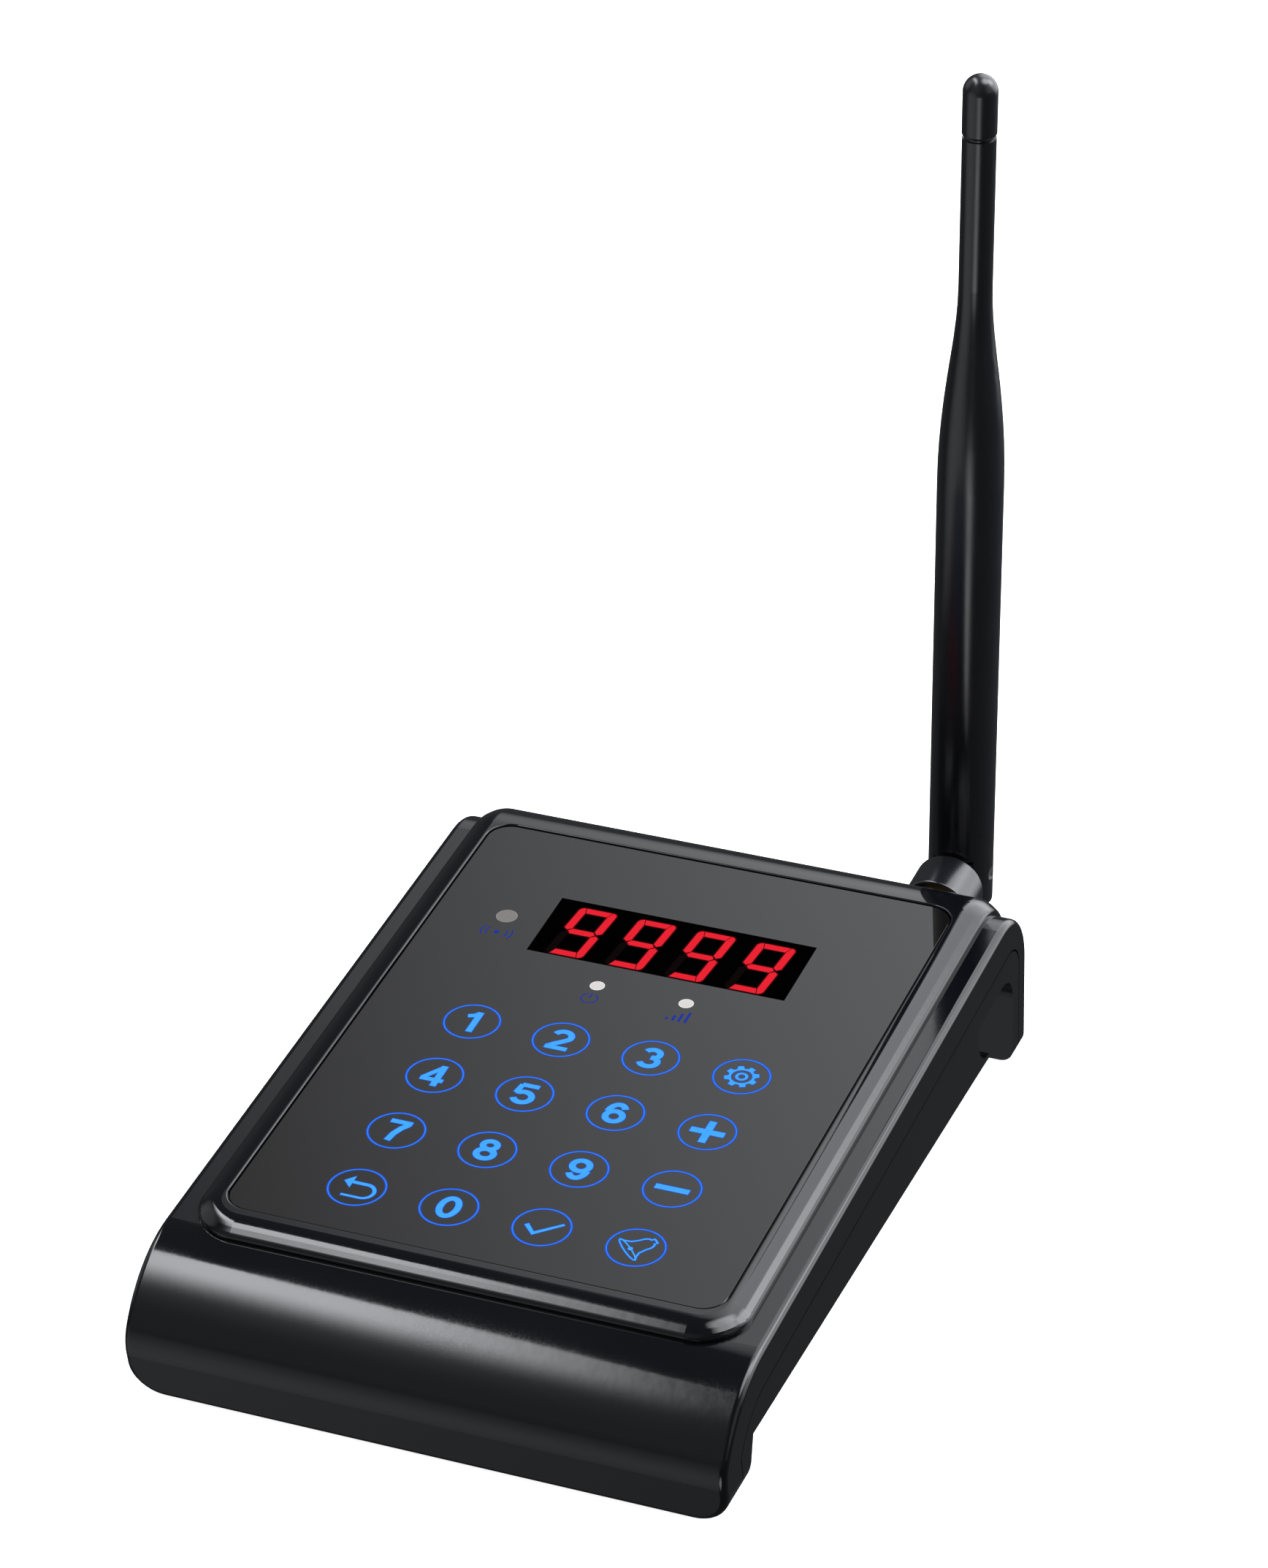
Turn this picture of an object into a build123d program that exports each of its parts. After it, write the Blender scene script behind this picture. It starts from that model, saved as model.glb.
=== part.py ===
from build123d import *
import os
from math import sin, cos, radians

os.makedirs("parts", exist_ok=True)

# Desktop touch-keypad transmitter of a guest paging system, with a hinged whip antenna.
# Millimetres. +X right, +Y back, +Z up. The origin is on the table, under the middle
# of the whole outline. The deck is the plane of the touch glass, tilted up at the back:
# across = X, along = up the deck from the front key row, rise = out of the glass.

# ---------------------------------------------------------------- driving dimensions
case_width = 115.0
deck_length = 133.5          # flat of the deck, from the nose curve to the rear curve
deck_tilt = 3.6              # degrees, higher at the back
deck_height = 30.75          # glass above the table, at the front key row
front_margin = 16.0          # front key row to the start of the nose curve
wall = 2.2                   # moulded shells
ledge_drop = 2.6             # side ledge below the glass
ledge_width = 4.5            # side ledge beside the raised bezel
edge_round = 1.3             # outer side edges

nose_radius, nose_turn = 22.3, 58.0      # upper curve of the nose, degrees turned
brow_radius, brow_turn = 9.0, 40.0       # tighter curve under it
lip_thickness = 9.9                      # front lip where it meets the table
lip_lean = 2.7                           # how far the lip's back leans towards the rear
lip_corner = 6.7                         # lower corners of the lip, seen from the front
leg_corner = 2.6                         # lower corners of the leg, the same way
belly_front, belly_back = 12.6, 11.1     # belly above the table, at its two ends
foot_proud = 0.6                         # rubber feet stand out this far

notch_back = 14.5            # belly's rear wall, ahead of the rear curve's centre
notch_top = 15.5             # notch ceiling below the glass
flare_radius = 6.0           # belly's rear wall flares out over this radius
flare_lip = 1.1              # thin lip below the flare
notch_round = 7.2            # inner corner between notch ceiling and leg
leg_thickness = 8.4
rear_radius = 14.9           # curve from the ledge down the leg

bezel_width = 5.0            # raised bezel beside the glass
bezel_front = 6.2            # raised bezel in front of the glass
bezel_rise = 0.25            # bezel above the glass
bezel_corner = 9.5
bezel_slope, bezel_drop = 2.8, 1.8         # outward slope of the bezel: across and down
bezel_crest, bezel_round = 5.4, 1.3        # rounds above and below the slope
bezel_lip = 0.3                            # round of the bezel's inner edge, at the glass

glass_thickness = 2.0
glass_corner = 4.8
glass_gap = 0.15             # glass to bezel, all round
glass_rear = 0.4             # glass runs this far past the rear curve's centre
film_thickness = 0.15
film_inset = 0.5             # film and tape stop this far inside the glass
tape_thickness = 0.2
seat_width = 3.5             # shelf under the rim of the glass

parting_depth = 8.0          # parting line below the outer surface
parting_leg = 4.8            # parting line ahead of the leg's rear face
parting_round = 6.7
parting_gap = 0.25

key_pitch = 18.0
key_columns, key_rows = 4, 4

board_thickness = 1.6
board_gap = 0.3              # board edge to its opening
display_size = (52.6, 18.4, 8.0)
display_from_rear = 29.1     # display centre, ahead of the rear curve's centre
display_lift = 1.0           # spacer ribs under the display
rib_inset, rib_width = 2.0, 1.5
face_gap = 0.15              # film to the face of the display
main_board_margin = 4.5      # main board edge to the side of the case
post_margin = 7.8            # screw posts to the side of the case
post_radius = 3.2
thread_gap = 0.02            # screw in its own thread
hole_gap = 0.2               # screw through a clearance hole

antenna_margin = 21.0        # antenna axis to the right side of the case
antenna_drop = 15.9          # antenna axis below the glass
knuckle_radius = 7.0
whip_radius = 6.5
whip_length = 176.6          # rounded end under the pin to the tip
pivot_reach = 19.55          # hinge pin behind the bezel's rear face
pin_radius = 1.5
running_gap = 0.05
fork_slot = 8.3
tongue_gap = 0.15            # each side of the tongue
turn_gap = 0.3               # between turning ends

parting_brow = 1.0           # parting line's curve under the nose
window_corner = 2.0
foot_floor = 3.2             # floor of the lip and leg over the rubber feet
foot_sunk = 1.0
foot_length, foot_width = 16.0, 5.0
foot_inset = 16.0            # foot centre to the side of the case
glass_bevel = 0.25

case_screw_radius, screw_head_radius, screw_head_height = 1.5, 2.8, 2.0
screw_seat, screw_tip, boss_split = -12.6, -6.0, -10.2
boss_radius = 4.0
board_screw_radius, board_screw_reach = 1.3, 5.0

light_hole = 1.6
key_led_size = (5.0, 3.0, 1.1)
status_radius, link_radius = 1.45, 2.1
power_u, signal_u, link_u = -8.5, 9.5, -33.6
status_ahead = 16.0          # status lamps ahead of the display centre
lamp_base, lamp_foot = 1.4, 0.6
lens_sunk = 0.1              # lens top below the touch board's face
rf_aside, rf_ahead = 0.5, 1.0    # radio board, under the antenna's axis and beside the display
buzzer_u, buzzer_v = -36.0, 28.0
vent_count, vent_pitch, vent_length, vent_width = 5, 3.5, 12.0, 1.4
label_size, label_sunk = (50.0, 30.0), 0.3

jack_u, jack_drop = -22.0, 19.0          # power socket, left of the middle, below the glass
jack_size = (7.4, 6.6, 11.0)
jack_bore, jack_pin, jack_depth = 2.05, 0.8, 9.0
jack_port_radius = 2.6

barrel_radius = 3.175        # threaded connector barrel
connector_flat, connector_flange = 4.0, 3.0
washer_thickness, nut_thickness = 0.5, 2.0
sleeve_radius, sleeve_length = 4.7, 6.6
fork_wall = 1.8              # rear wall of the whip's fork
pin_half = 6.2
neck_radius, tip_radius, groove_radius, groove_width = 3.275, 3.35, 2.9, 0.5
taper_start, taper_middle, taper_end = 86.3, 109.3, 127.3
tip_start = 157.5
element_start, element_radius = 12.0, 1.0

# ---------------------------------------------------------------- derived values
half_width = case_width / 2
rear_v = deck_length - front_margin          # centre of the rear curve, along the deck
ledge = -ledge_drop
ceiling = ledge - wall                       # underside of the top shell
rear_centre = ledge - rear_radius
leg_rear = rear_v + rear_radius
leg_front = leg_rear - leg_thickness
belly_rear = rear_v - notch_back
bezel_half = half_width - ledge_width
bezel_radius = rear_radius + ledge_drop + bezel_rise
bezel_rear = rear_v + bezel_radius
glass_half = bezel_half - bezel_width
bezel_foot = -front_margin - 2.8
glass_front = bezel_foot + bezel_front
glass_back = rear_v + glass_rear
glass_mid = (glass_front + glass_back) / 2
glass_length = glass_back - glass_front
seat = -(glass_thickness + film_thickness + tape_thickness)
film_half, film_length = glass_half - film_inset, glass_length - 2 * film_inset
window_half = glass_half - seat_width
window_length = glass_length - 2 * seat_width
touch_top = -(glass_thickness + film_thickness)
touch_under = touch_top - board_thickness
display_v = rear_v - display_from_rear
display_top = touch_top - face_gap
main_top = display_top - display_size[2] - display_lift
main_under = main_top - board_thickness
main_front, main_back = key_pitch, belly_rear - wall - 1.0
post_u = half_width - post_margin
antenna_u = half_width - antenna_margin
pivot_v = bezel_rear + pivot_reach
foot_u = half_width - foot_inset
status_v = display_v - status_ahead
rf_u = antenna_u - rf_aside
rf_v = display_v - rf_ahead

SIN, COS = sin(radians(deck_tilt)), cos(radians(deck_tilt))

# The outline's middle stands over the origin: nose at the front, whip at the back.
brow_back = -front_margin - (nose_radius - brow_radius) * sin(radians(nose_turn))
brow_up = ledge - nose_radius + (nose_radius - brow_radius) * cos(radians(nose_turn))
outline_front = brow_back * COS - brow_up * SIN - brow_radius
outline_rear = pivot_v * COS + antenna_drop * SIN + whip_radius
deck_y = -(outline_front + outline_rear) / 2

deck = Plane(origin=(0, deck_y, deck_height), x_dir=(1, 0, 0), z_dir=(0, -SIN, COS))
side = Plane(origin=deck.origin, x_dir=deck.y_dir, z_dir=deck.x_dir)


def table_point(along, height):
    """Point of the side view at this place along the deck and height over the table."""
    return Vector(along, (height - deck_height - along * SIN) / COS)


def reach_height(start, heading, height):
    """Point reached from start, along heading, at this height over the table."""
    here = deck_height + start.X * SIN + start.Y * COS
    climb = heading.X * SIN + heading.Y * COS
    return start + heading * ((height - here) / climb)


def table_y(along):
    """Y of a point on the table under this place along the deck's side view."""
    foot = table_point(along, 0)
    return deck_y + foot.X * COS - foot.Y * SIN


def spot(shape):
    """Middle of an edge or face in the side view: X along the deck, Y out of the glass."""
    return side.to_local_coords(shape.center())


def on_side(edge, half):
    """True for an edge that lies in the plane of a side, half a width from the middle."""
    return abs(abs(edge.center().X) - half) < 0.01


def export(piece, name):
    piece.part.label = name
    export_step(piece.part, f"parts/{name}.step")


# ---------------------------------------------------------------- case envelope
with BuildPart() as envelope:
    with BuildSketch(side):
        with BuildLine():
            nose = JernArc((-front_margin, ledge), (-1, 0), nose_radius, nose_turn)
            brow = JernArc(nose @ 1, nose % 1, brow_radius, brow_turn)
            lip_toe = reach_height(brow @ 1, brow % 1, foot_proud)
            lip_heel = table_point(lip_toe.X + lip_thickness, foot_proud)
            lip_root = table_point(lip_heel.X + lip_lean, belly_front)
            belly_tip = table_point(belly_rear + flare_radius, belly_back)
            flare_up = belly_tip.Y + flare_lip + flare_radius
            Line(brow @ 1, lip_toe)
            Line(lip_toe, lip_heel)
            Line(lip_heel, lip_root)
            Line(lip_root, belly_tip)
            Line(belly_tip, (belly_tip.X, belly_tip.Y + flare_lip))
            RadiusArc((belly_tip.X, belly_tip.Y + flare_lip), (belly_rear, flare_up), flare_radius)
            Line((belly_rear, flare_up), (belly_rear, -notch_top))
            notch_end = (leg_front - notch_round, -notch_top)
            Line((belly_rear, -notch_top), notch_end)
            notch_arc = JernArc(notch_end, (1, 0), notch_round, -90)
            leg_toe = table_point(leg_front, foot_proud)
            leg_heel = table_point(leg_rear, foot_proud)
            Line(notch_arc @ 1, leg_toe)
            Line(leg_toe, leg_heel)
            Line(leg_heel, (leg_rear, rear_centre))
            JernArc((leg_rear, rear_centre), (0, 1), rear_radius, 90)
            Line((rear_v, ledge), (-front_margin, ledge))
        make_face()
    extrude(amount=half_width, both=True)
    low_edges = envelope.edges().filter_by(
        lambda e: on_side(e, half_width) and e.center().Z < foot_proud + 0.01
    )
    fillet(low_edges.filter_by(lambda e: spot(e).X < 0), lip_corner)
    fillet(low_edges.filter_by(lambda e: spot(e).X > 0), leg_corner)
    outer_edges = envelope.edges().filter_by(
        lambda e: on_side(e, half_width)
        and (spot(e).Y > parting_depth - notch_top - 2.6 or spot(e).X > leg_rear - 0.1)
    )
    fillet(outer_edges, edge_round)

# Raised bezel: a ridge round the glass that rolls over the rear edge and down the leg.
bezel_root = 1.0
with BuildPart() as bezel:
    with BuildSketch(side):
        with BuildLine():
            Line((bezel_foot, bezel_rise), (rear_v, bezel_rise))
            over = JernArc((rear_v, bezel_rise), (1, 0), bezel_radius, -90)
            bezel_heel = table_point(bezel_rear, foot_proud)
            bezel_toe = table_point(leg_rear - bezel_root, foot_proud)
            Line(over @ 1, bezel_heel)
            Line(bezel_heel, bezel_toe)
            Line(bezel_toe, (leg_rear - bezel_root, rear_centre))
            under_start = (leg_rear - bezel_root, rear_centre)
            under = JernArc(under_start, (0, 1), rear_radius - bezel_root, 90)
            Line(under @ 1, (bezel_foot, ledge - bezel_root))
            Line((bezel_foot, ledge - bezel_root), (bezel_foot, bezel_rise))
        make_face()
    extrude(amount=bezel_half, both=True)
    front_corners = bezel.edges().filter_by(
        lambda e: e.geom_type == GeomType.LINE
        and on_side(e, bezel_half)
        and abs(spot(e).X - bezel_foot) < 0.01
    )
    fillet(front_corners, bezel_corner)
    deck_face = bezel.faces().filter_by(GeomType.PLANE).sort_by(Axis(deck.origin, deck.z_dir))[-1]
    # one front edge is enough: the slope and both rounds run on round the whole bezel
    crest = deck_face.edges().filter_by(lambda e: abs(spot(e).X - bezel_foot) < 0.01)
    chamfer(crest, length=bezel_slope, length2=bezel_drop, reference=deck_face)
    for along, up, radius in (
        (bezel_foot + bezel_slope, bezel_rise, bezel_crest),
        (bezel_foot, bezel_rise - bezel_drop, bezel_round),
    ):
        fillet(
            bezel.edges().filter_by(
                lambda e: abs(spot(e).X - along) < 0.01 and abs(spot(e).Y - up) < 0.01
            ),
            radius,
        )


def lower_half(gap):
    """Side-view region of the bottom shell, grown by gap over the parting line."""
    depth = parting_depth - gap
    leg_line = leg_rear - parting_leg + gap
    with BuildSketch(side) as region:
        with BuildLine():
            start = (-front_margin, ledge - depth)
            nose = JernArc(start, (-1, 0), nose_radius - depth, nose_turn)
            brow = JernArc(nose @ 1, nose % 1, parting_brow + gap, brow_turn)
            toe = reach_height(brow @ 1, brow % 1, -deck_height)
            bend = (leg_line - parting_round, ledge - depth)
            heel = table_point(leg_line, -deck_height)
            Line(brow @ 1, toe)
            Line(start, bend)
            roll = JernArc(bend, (1, 0), parting_round, -90)
            Line(roll @ 1, heel)
            Line(heel, toe)
        make_face()
    return region.sketch


def hollow():
    """Side-view region of the inside: the outline set in by the wall, with thicker feet."""
    lean = (lip_root - lip_heel).normalized()
    inner = lip_heel - Vector(wall, 0)
    floor = foot_proud + foot_floor
    with BuildSketch(side) as region:
        with BuildLine():
            nose = JernArc((-front_margin, ceiling), (-1, 0), nose_radius - wall, nose_turn)
            brow = JernArc(nose @ 1, nose % 1, brow_radius - wall, brow_turn)
            toe = reach_height(brow @ 1, brow % 1, floor)
            heel = reach_height(inner, lean, floor)
            root = reach_height(inner, lean, belly_front + wall)
            rear_floor = table_point(belly_rear - wall, belly_back + wall)
            step = (belly_rear - wall, wall - notch_top)
            bend = (leg_front - notch_round, wall - notch_top)
            Line(brow @ 1, toe)
            Line(toe, heel)
            Line(heel, root)
            Line(root, rear_floor)
            Line(rear_floor, step)
            Line(step, bend)
            roll = JernArc(bend, (1, 0), notch_round + wall, -90)
            leg_toe = table_point(leg_front + wall, floor)
            leg_heel = table_point(leg_rear - wall, floor)
            Line(roll @ 1, leg_toe)
            Line(leg_toe, leg_heel)
            Line(leg_heel, (leg_rear - wall, rear_centre))
            JernArc((leg_rear - wall, rear_centre), (0, 1), rear_radius - wall, 90)
            Line((rear_v, ceiling), (-front_margin, ceiling))
        make_face()
    return region.sketch


# ---------------------------------------------------------------- top shell
aerial = Plane(
    origin=deck.from_local_coords(Vector(antenna_u, 0, -antenna_drop)),
    x_dir=(1, 0, 0),
    z_dir=deck.y_dir,
)
board_spots = [(u, v) for u in (-post_u, post_u) for v in (main_front + 6, main_back - 6)]
screw_spots = [(u, v) for u in (-post_u, post_u) for v in (10 - front_margin, rear_v - 5.5)]
foot_spots = [
    (u, table_y(v)) for u in (-foot_u, foot_u) for v in (lip_toe.X + 3.8, bezel_rear - 4.0)
]

with BuildPart() as top_shell:
    add(envelope.part)
    add(bezel.part)
    extrude(lower_half(parting_gap), amount=case_width, both=True, mode=Mode.SUBTRACT)
    extrude(hollow(), amount=half_width - wall, both=True, mode=Mode.SUBTRACT)
    with BuildSketch(deck.offset(seat)):
        with Locations((0, glass_mid)):
            RectangleRounded(
                2 * (glass_half + glass_gap), glass_length + 2 * glass_gap, glass_corner + glass_gap
            )
    extrude(amount=2 * glass_thickness, mode=Mode.SUBTRACT)
    recess = top_shell.edges().filter_by(
        lambda e: abs(spot(e).Y - bezel_rise) < 0.02
        and abs(e.center().X) < glass_half + 2 * glass_gap
        and abs(spot(e).X - glass_mid) < glass_length / 2 + 2 * glass_gap
    )
    fillet(recess, bezel_lip)
    with BuildSketch(deck.offset(ceiling - 1)):
        with Locations((0, glass_mid)):
            RectangleRounded(2 * window_half, window_length, window_corner)
    extrude(amount=2 * wall, mode=Mode.SUBTRACT)
    with BuildSketch(deck.offset(main_top)):
        with Locations(*board_spots):
            Circle(post_radius)
    extrude(amount=ceiling - main_top + 0.5)
    with BuildSketch(deck.offset(boss_split)):
        with Locations(*screw_spots):
            Circle(post_radius)
    extrude(amount=ceiling - boss_split + 0.5)
    with BuildSketch(deck.offset(main_top)):
        with Locations(*board_spots):
            Circle(board_screw_radius + thread_gap)
    extrude(amount=board_screw_reach + 0.5, mode=Mode.SUBTRACT)
    with BuildSketch(deck.offset(boss_split)):
        with Locations(*screw_spots):
            Circle(case_screw_radius + thread_gap)
    extrude(amount=screw_tip - boss_split + 0.3, mode=Mode.SUBTRACT)
    with BuildSketch(aerial.offset(leg_rear - 2 * wall)):
        Circle(barrel_radius + hole_gap)
    extrude(amount=bezel_rear - leg_rear + 3 * wall, mode=Mode.SUBTRACT)
    with BuildSketch(aerial.offset(leg_rear - wall - connector_flange - 2)):
        Circle(connector_flat * 1.155 + hole_gap)
    extrude(amount=connector_flange + 2, mode=Mode.SUBTRACT)
    with BuildSketch(Plane.XY):
        with Locations(*foot_spots):
            SlotOverall(foot_length, foot_width)
    extrude(amount=foot_proud + foot_sunk, mode=Mode.SUBTRACT)
export(top_shell, "top_shell")

# ---------------------------------------------------------------- bottom shell
jack = Plane(
    origin=deck.from_local_coords(Vector(jack_u, 0, -jack_drop)),
    x_dir=(1, 0, 0),
    z_dir=deck.y_dir,
)
label_spot = lip_root + (belly_tip - lip_root) / 2
belly_slope = (belly_tip - lip_root).normalized()
belly = Plane(
    origin=side.from_local_coords(label_spot),
    x_dir=(1, 0, 0),
    z_dir=side.from_local_coords(Vector(-belly_slope.Y, belly_slope.X)) - side.origin,
)
with BuildPart() as bottom_shell:
    add(envelope.part)
    extrude(lower_half(0), amount=case_width, both=True, mode=Mode.INTERSECT)
    extrude(hollow(), amount=half_width - wall, both=True, mode=Mode.SUBTRACT)
    for u, v in screw_spots:
        inside_floor = wall - notch_top if v > belly_rear else table_point(v, belly_front + 1).Y
        with BuildSketch(deck.offset(inside_floor - 0.5)):
            with Locations((u, v)):
                Circle(boss_radius)
        extrude(amount=boss_split - inside_floor + 0.5)
    with BuildSketch(deck.offset(screw_seat)):
        with Locations(*screw_spots):
            Circle(screw_head_radius + hole_gap)
    extrude(amount=-12, mode=Mode.SUBTRACT)
    with BuildSketch(deck.offset(screw_seat - 1)):
        with Locations(*screw_spots):
            Circle(case_screw_radius + hole_gap)
    extrude(amount=6, mode=Mode.SUBTRACT)
    with BuildSketch(jack.offset(belly_rear - 2 * wall)):
        Circle(jack_port_radius)
    extrude(amount=2 * wall + flare_radius, mode=Mode.SUBTRACT)
    with BuildSketch(Plane.XY.offset(belly_back - 1)):
        with Locations((buzzer_u, table_y(buzzer_v))):
            with GridLocations(vent_pitch, 0, vent_count, 1):
                SlotOverall(vent_length, vent_width, rotation=90)
    extrude(amount=3 * wall + 1, mode=Mode.SUBTRACT)
    with BuildSketch(belly.offset(-wall)):
        RectangleRounded(*label_size, 2)
    extrude(amount=wall + label_sunk, mode=Mode.SUBTRACT)
export(bottom_shell, "bottom_shell")

# ---------------------------------------------------------------- glass and film
with BuildPart() as touch_glass:
    with BuildSketch(deck.offset(-glass_thickness)):
        with Locations((0, glass_mid)):
            RectangleRounded(2 * glass_half, glass_length, glass_corner)
    extrude(amount=glass_thickness)
    rim = touch_glass.faces().sort_by(Axis(deck.origin, deck.z_dir))[-1]
    chamfer(rim.edges(), glass_bevel)
export(touch_glass, "touch_glass")

with BuildPart() as printed_film:
    with BuildSketch(deck.offset(touch_top)):
        with Locations((0, glass_mid)):
            RectangleRounded(2 * film_half, film_length, glass_corner - film_inset)
    extrude(amount=film_thickness)
export(printed_film, "printed_film")

with BuildPart() as glass_tape:
    with BuildSketch(deck.offset(seat)):
        with Locations((0, glass_mid)):
            RectangleRounded(2 * film_half, film_length, glass_corner - film_inset)
            RectangleRounded(
                2 * window_half, window_length, window_corner, mode=Mode.SUBTRACT
            )
    extrude(amount=tape_thickness)
export(glass_tape, "glass_tape")

# ---------------------------------------------------------------- touch board and lights
key_mid = key_pitch * (key_rows - 1) / 2
with BuildPart() as touch_board:
    with BuildSketch(deck.offset(touch_under)):
        with Locations((0, glass_mid)):
            RectangleRounded(
                2 * (window_half - board_gap), window_length - 2 * board_gap, window_corner
            )
        with Locations((0, key_mid)):
            with GridLocations(key_pitch, key_pitch, key_columns, key_rows):
                Circle(light_hole, mode=Mode.SUBTRACT)
        with Locations((0, display_v)):
            Rectangle(
                display_size[0] + board_gap, display_size[1] + board_gap, mode=Mode.SUBTRACT
            )
        with Locations((power_u, status_v), (signal_u, status_v)):
            Circle(status_radius + hole_gap, mode=Mode.SUBTRACT)
        with Locations((link_u, display_v)):
            Circle(link_radius + hole_gap, mode=Mode.SUBTRACT)
    extrude(amount=board_thickness)
export(touch_board, "touch_board")

with BuildPart() as key_leds:
    with BuildSketch(deck.offset(touch_under - key_led_size[2])):
        with Locations((0, key_mid)):
            with GridLocations(key_pitch, key_pitch, key_columns, key_rows):
                Rectangle(key_led_size[0], key_led_size[1])
    extrude(amount=key_led_size[2])
export(key_leds, "key_leds")


def lamp(u, v, radius):
    """Lamp in a hole of the touch board: a lens under the film on a wider base."""
    with BuildPart() as lens:
        with BuildSketch(deck.offset(touch_under - lens_sunk)):
            with Locations((u, v)):
                Circle(radius)
        extrude(amount=board_thickness)
        with BuildSketch(deck.offset(touch_under - lamp_base)):
            with Locations((u, v)):
                Circle(radius + lamp_foot)
        extrude(amount=lamp_base)
    return lens


export(lamp(power_u, status_v, status_radius), "power_lamp")
export(lamp(signal_u, status_v, status_radius), "signal_lamp")
export(lamp(link_u, display_v, link_radius), "link_lamp")

# ---------------------------------------------------------------- display
with BuildPart() as display_module:
    with BuildSketch(deck.offset(display_top - display_size[2])):
        with Locations((0, display_v)):
            Rectangle(display_size[0], display_size[1])
    extrude(amount=display_size[2])
    with BuildSketch(deck.offset(main_top)):
        with Locations((0, display_v)):
            with GridLocations(0, display_size[1] - 2 * rib_inset, 1, 2):
                Rectangle(display_size[0] - 2 * rib_inset, rib_width)
    extrude(amount=display_lift)
export(display_module, "display_module")

# ---------------------------------------------------------------- main board
with BuildPart() as main_board:
    with BuildSketch(deck.offset(main_under)):
        with Locations((0, (main_front + main_back) / 2)):
            RectangleRounded(case_width - 2 * main_board_margin, main_back - main_front, 2)
        with Locations(*board_spots):
            Circle(board_screw_radius + hole_gap, mode=Mode.SUBTRACT)
    extrude(amount=board_thickness)
export(main_board, "main_board")


def chip(name, u, v, size, base=main_top):
    """Plain component body standing on the main board, or on another height."""
    with BuildPart() as body:
        with BuildSketch(deck.offset(base)):
            with Locations((u, v)):
                Rectangle(size[0], size[1])
        extrude(amount=size[2])
        top = body.edges().filter_by(Axis(deck.origin, deck.z_dir))
        chamfer(top, min(size[0], size[1]) / 20)
    export(body, name)


chip("microcontroller", 0, key_pitch * 2 - 6, (10, 10, 1.4))
chip("crystal", 14, key_pitch * 2 - 6, (11, 4.5, 3.4))
chip("voltage_regulator", -antenna_u, key_pitch * 3, (6.6, 9.0, 2.4))
chip("radio_board", rf_u, rf_v, (15, 20, 1.0))
chip("radio_shield", rf_u, rf_v - 2.0, (12, 13, 2.6), base=main_top + 1.0)
chip("board_link", 0, key_pitch * 3 + 8.5, (22, 2.6, touch_under - main_top))

with BuildPart() as capacitors:
    with BuildSketch(deck.offset(main_top)):
        with Locations((-antenna_u, key_pitch * 3 + 12)):
            with GridLocations(8, 0, 2, 1):
                Circle(3.15)
    extrude(amount=5.4)
    fillet(capacitors.edges().group_by(Axis(deck.origin, deck.z_dir))[-1], 0.4)
export(capacitors, "capacitors")

with BuildPart() as buzzer:
    with BuildSketch(deck.offset(main_top)):
        with Locations((buzzer_u, buzzer_v)):
            Circle(6.0)
    extrude(amount=5.4)
    with BuildSketch(deck.offset(main_top + 4.9)):
        with Locations((buzzer_u, buzzer_v)):
            Circle(1.2)
    extrude(amount=1, mode=Mode.SUBTRACT)
export(buzzer, "buzzer")

# Power socket under the board's rear edge, facing the notch.
with BuildPart() as power_socket:
    with BuildSketch(jack.offset(belly_rear - wall - jack_size[2] - 0.1)):
        Rectangle(jack_size[0], jack_size[1])
    extrude(amount=jack_size[2])
    with BuildSketch(jack.offset(belly_rear - wall - 0.1)):
        Circle(jack_bore)
    extrude(amount=-jack_depth, mode=Mode.SUBTRACT)
    with BuildSketch(jack.offset(belly_rear - wall - 0.1 - jack_depth)):
        Circle(jack_pin)
    extrude(amount=jack_depth - 1)
    with BuildSketch(deck.offset(jack_size[1] / 2 - jack_drop - 0.2)):
        with Locations((jack_u, belly_rear - wall - jack_size[2] / 2)):
            Rectangle(jack_size[0] - 2, jack_size[2] - 4)
    extrude(amount=main_under + jack_drop - jack_size[1] / 2 + 0.2)
export(power_socket, "power_socket")

# ---------------------------------------------------------------- screws and feet


def screws(name, places, seat_at, radius, head_radius, head_height, reach):
    """Pan-head screws driven upwards, heads under seat_at, square to the deck."""
    with BuildPart() as group:
        with BuildSketch(deck.offset(seat_at - head_height)):
            with Locations(*places):
                Circle(head_radius)
        extrude(amount=head_height)
        lowest = group.edges().group_by(Axis(deck.origin, deck.z_dir))[0]
        chamfer(lowest, 0.4)
        with BuildSketch(deck.offset(seat_at)):
            with Locations(*places):
                Circle(radius)
        extrude(amount=reach)
        with BuildSketch(deck.offset(seat_at - head_height)):
            with Locations(*places):
                Rectangle(head_radius * 1.2, 0.7)
                Rectangle(0.7, head_radius * 1.2)
        extrude(amount=head_height / 2, mode=Mode.SUBTRACT)
    export(group, name)


screws(
    "case_screws", screw_spots, screw_seat, case_screw_radius,
    screw_head_radius, screw_head_height, screw_tip - screw_seat,
)
screws(
    "board_screws", board_spots, main_under, board_screw_radius,
    2.4, 1.6, board_screw_reach + board_thickness,
)

with BuildPart() as rubber_feet:
    with BuildSketch(Plane.XY):
        with Locations(*foot_spots):
            SlotOverall(foot_length - 0.2, foot_width - 0.2)
    extrude(amount=foot_proud + foot_sunk)
    fillet(rubber_feet.edges().group_by(Axis.Z)[0], 0.4)
export(rubber_feet, "rubber_feet")

# ---------------------------------------------------------------- antenna connector
barrel_start = leg_rear - wall - connector_flange
washer_start = bezel_rear
nut_start = washer_start + washer_thickness
sleeve_start = nut_start + nut_thickness + 0.1
knuckle_start = sleeve_start + turn_gap

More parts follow.
